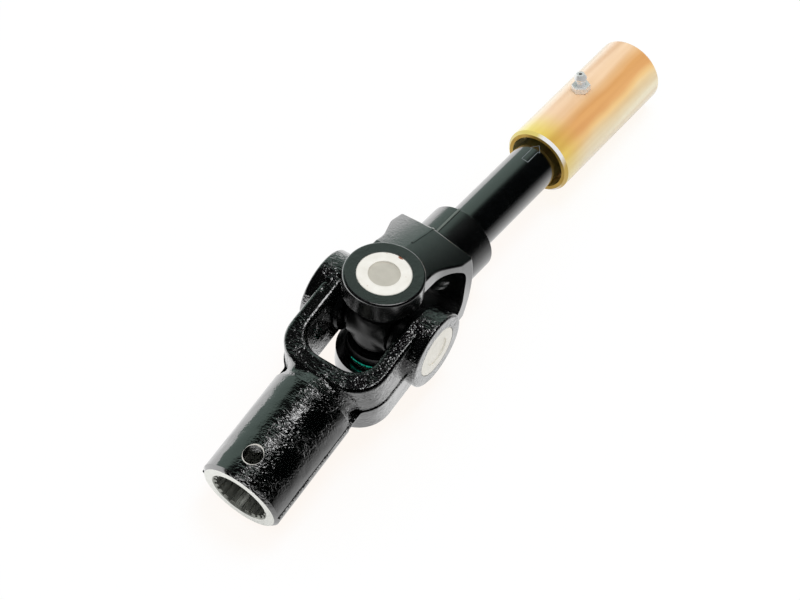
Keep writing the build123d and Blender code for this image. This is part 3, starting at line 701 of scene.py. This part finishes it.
arrow_line = [(99.1, -1.55), (99.1, 1.55), (106.7, 1.55), (106.7, 2.45), (109.9, 0.0), (106.7, -2.45), (106.7, -1.55)]
arrow = grown("outline_arrow", wrap_tree, flat_line("arrow_line", arrow_line, True),
              dict(line_sizes, **{"Bar Radius": 10.25 * MM, "Width": 0.26 * MM, "Rise": 0.2}), shaft_place, line_paint)
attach(arrow, "shaft")
lap_line = [(-70.9, 1.6), (-70.75, 0.1), (-70.3, -1.2), (-70.45, -2.46), (-71.1, -3.7), (-71.7, -4.75), (-72.4, -5.5),
            (-73.3, -5.9)]
lap = grown("forging_lap", wrap_tree, flat_line("lap_line", lap_line, False),
            dict(line_sizes, **{"Bar Radius": 17.62 * MM, "Width": 0.8 * MM, "Rise": 0.5}), hub_place, gloss_forging)
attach(lap, "hub")

# %% [markdown]
# ## The white sheet
# The part lies on a white sheet under one lamp overhead and a soft sky. Paper under that light renders about as it is
# written. The camera sees the sheet as white wherever nothing shades it: a glow and a share of the real shading add up to
# one, and where the part keeps light off the paper the sum falls, so the shadow stays. Blue falls most, because the paper's
# shadow is warm.

# %% Paper as the camera sees it
HALF_SHEET = 4.0
SHADE_SHARE = Vector((0.03, 0.11, 0.18))    # of the real shading, in red, green and blue
LIT_PAPER = 0.98                            # what the shading adds up to on open paper
floor_mesh = bpy.data.meshes.new("white_sheet")
corners = [(HALF_SHEET * x, HALF_SHEET * y, 0) for x, y in ((-1, -1), (1, -1), (1, 1), (-1, 1))]
floor_mesh.from_pydata(corners, [], [(0, 1, 2, 3)])
floor = bpy.data.objects.new("white_sheet", floor_mesh)
scene.collection.objects.link(floor)
sheet = bpy.data.materials.new("white_paper_sheet")
floor_mesh.materials.append(sheet)
sheet.use_nodes = True
tree = sheet.node_tree
tree.nodes.clear()
seen_glow = add(tree, "ShaderNodeEmission", Color=(*[1.0 - LIT_PAPER * c for c in SHADE_SHARE], 1), Strength=1.0)
seen_shade = add(tree, "ShaderNodeBsdfDiffuse", Color=(*SHADE_SHARE, 1))
seen = add(tree, "ShaderNodeAddShader", i0=seen_glow.outputs[0], i1=seen_shade.outputs[0])
print(floor.name, 2 * HALF_SHEET, "m wide")

# %% [markdown]
# What the gloss mirrors is the sheet as it was lit. It is bright toward +Y and fades to nearly black toward -Y, where the
# white sheet ended and the dark room began. Under the fork the bright part reaches 30 mm further. The mirror image is a mix
# of paper in the part's own shade and of evenly lit paper. It has more of the even one under the fork and on the hub's +Y
# side, because the undersides of those two mirror a brighter sheet than the rest does.

# %% Where the mirrored sheet is bright
FORK_X, FORK_INNER, FORK_OUTER, FORK_REACH = -0.032, 0.03, 0.048, 0.03     # m, the strip of paper under the fork
spot = add(tree, "ShaderNodeSeparateXYZ", Vector=add(tree, "ShaderNodeTexCoord").outputs["Object"])
from_fork = add(tree, "ShaderNodeMath", {"operation": "ADD"}, i0=spot.outputs["X"], i1=-FORK_X)
aside = add(tree, "ShaderNodeMath", {"operation": "ABSOLUTE"}, i0=from_fork.outputs[0])
by_fork = add(tree, "ShaderNodeMapRange", {"interpolation_type": "SMOOTHSTEP"}, Value=aside.outputs[0],
              From_Min=FORK_INNER, From_Max=FORK_OUTER, To_Min=1.0, To_Max=0.0)
shifted = add(tree, "ShaderNodeMath", {"operation": "MULTIPLY_ADD"}, i0=by_fork.outputs[0], i1=FORK_REACH,
              i2=spot.outputs["Y"])
reach = add(tree, "ShaderNodeMapRange", Value=shifted.outputs[0], From_Min=-0.2, From_Max=0.02)
fade = [(0.0, 0.06), (0.227, 0.1), (0.605, 0.25), (0.709, 0.44), (0.773, 0.6), (0.841, 0.8), (0.909, 1.0)]
near = add(tree, "ShaderNodeValToRGB", {"stops": fade}, Fac=reach.outputs[0])
print("the sheet fades over", len(fade), "stops")

# %% Paper as the gloss mirrors it
by_hub = add(tree, "ShaderNodeMapRange", Value=spot.outputs["X"], From_Min=-0.09, From_Max=-0.075, To_Min=1.0, To_Max=0.0)
far_side = add(tree, "ShaderNodeMapRange", Value=spot.outputs["Y"], From_Min=0.005, From_Max=0.02)
both = add(tree, "ShaderNodeMath", {"operation": "MULTIPLY"}, i0=by_hub.outputs[0], i1=far_side.outputs[0])
opened = add(tree, "ShaderNodeMath", {"operation": "MAXIMUM"}, i0=both.outputs[0], i1=by_fork.outputs[0])
open_paper = add(tree, "ShaderNodeMapRange", Value=opened.outputs[0], To_Min=0.55, To_Max=0.98)
shaded_paper = add(tree, "ShaderNodeBsdfDiffuse", Color=near.outputs[0])
even_paper = add(tree, "ShaderNodeEmission", Color=near.outputs[0], Strength=1.0)
mirrored = add(tree, "ShaderNodeMixShader", i0=open_paper.outputs[0], i1=shaded_paper.outputs[0], i2=even_paper.outputs[0])
print("mirrored paper", len(tree.nodes), "nodes")

# %% [markdown]
# The two looks and plain paper, which only passes light on to matt surfaces, are joined by the kind of ray.

# %% One sheet for every ray
rays = add(tree, "ShaderNodeLightPath")
paper = add(tree, "ShaderNodeBsdfDiffuse", Color=linear("#F6F4F1"))
base = add(tree, "ShaderNodeMixShader", i0=rays.outputs["Is Glossy Ray"], i1=paper.outputs[0], i2=mirrored.outputs[0])
mixed = add(tree, "ShaderNodeMixShader", i0=rays.outputs["Is Camera Ray"], i1=base.outputs[0], i2=seen.outputs[0])
add(tree, "ShaderNodeOutputMaterial", Surface=mixed.outputs[0])
print(sheet.name, len(tree.nodes), "nodes")

# %% [markdown]
# ## Lamps
# The real part was lit by one broad lamp. Its mirror image in the rough paint is a field of glints no brighter than white.
# Two discs stand for it here: a larger share of the light comes from one that the gloss does not mirror, and a wide, weak
# one that only the gloss mirrors, so the glints stay small and do not burn out.

# %% The lamps
LAMPS = {"overhead_lamp": (0.5, 5.0, 1.2, False),   # metres across, watts, metres away, mirrored in the gloss
         "glint_lamp": (0.42, 0.8, 1.0, True)}
lamp_way = Vector((0.23, -0.04, 0.97)).normalized()
for name, (size, watts, far, in_gloss) in LAMPS.items():
    lamp_data = bpy.data.lights.new(name, "AREA")
    lamp_data.shape, lamp_data.size, lamp_data.energy = "DISK", size, watts
    lamp = bpy.data.objects.new(name, lamp_data)
    lamp.visible_glossy, lamp.visible_diffuse = in_gloss, not in_gloss
    scene.collection.objects.link(lamp)
    lamp.location = joint_centre + lamp_way * far
    lamp.rotation_mode = "QUATERNION"
    lamp.rotation_quaternion = lamp_way.to_track_quat("Z", "Y")
    print(name, watts, "W")

# %% [markdown]
# ## The room
# The camera sees white behind the part. The gloss mirrors a dark room with one grey-green wall, which fills the half of all
# directions on one side of a plane. The wall is brightest toward +Y, where the window is, and fades toward -Y. That gives
# the enamel a soft grey side and a black one, with a line between them that follows the form. Rays that light matt surfaces
# see a soft sky instead, which is a little dimmer on the dark side of the same plane.

# %% What the gloss mirrors of the room
WALL_WAY = (0.63, 0.465, -0.62)             # the plane between wall and dark has this normal
world = bpy.data.worlds.new("overcast_room")
scene.world = world
world.use_nodes = True
tree = world.node_tree
tree.nodes.clear()
way = add(tree, "ShaderNodeTexCoord").outputs["Generated"]
wall_side = add(tree, "ShaderNodeVectorMath", {"operation": "DOT_PRODUCT"}, i0=way, i1=WALL_WAY)
share = add(tree, "ShaderNodeMapRange", Value=wall_side.outputs["Value"], From_Min=-1.0, From_Max=1.0)
wall_stops = [(0.0, 0.006), (0.48, 0.006), (0.56, "#76867F"), (0.8, "#84948E")]
wall = add(tree, "ShaderNodeValToRGB", {"stops": wall_stops}, Fac=share.outputs[0])
window_side = add(tree, "ShaderNodeMapRange", Value=add(tree, "ShaderNodeSeparateXYZ", Vector=way).outputs["Y"],
                  From_Min=-1.0, From_Max=1.0)
window_stops = [(0.46, 0.08), (0.56, 0.4), (0.67, 0.95), (0.75, 1.0)]
window = add(tree, "ShaderNodeValToRGB", {"stops": window_stops}, Fac=window_side.outputs[0])
room = add(tree, "ShaderNodeBackground", Color=wall.outputs[0], Strength=window.outputs[0])
print(world.name, len(tree.nodes), "nodes")

# %% One world for every ray
sky_light = add(tree, "ShaderNodeValToRGB", {"stops": [(0.0, 0.74), (0.42, 0.74), (0.6, 1.0)]}, Fac=share.outputs[0])
soft_sky = add(tree, "ShaderNodeBackground", Color=sky_light.outputs[0], Strength=1.0)
white = add(tree, "ShaderNodeBackground", Color=(1, 1, 1, 1), Strength=1.0)
rays = add(tree, "ShaderNodeLightPath")
lit = add(tree, "ShaderNodeMixShader", i0=rays.outputs["Is Diffuse Ray"], i1=room.outputs[0], i2=soft_sky.outputs[0])
sky = add(tree, "ShaderNodeMixShader", i0=rays.outputs["Is Camera Ray"], i1=lit.outputs[0], i2=white.outputs[0])
add(tree, "ShaderNodeOutputWorld", Surface=sky.outputs[0])
print(world.name, len(tree.nodes), "nodes")
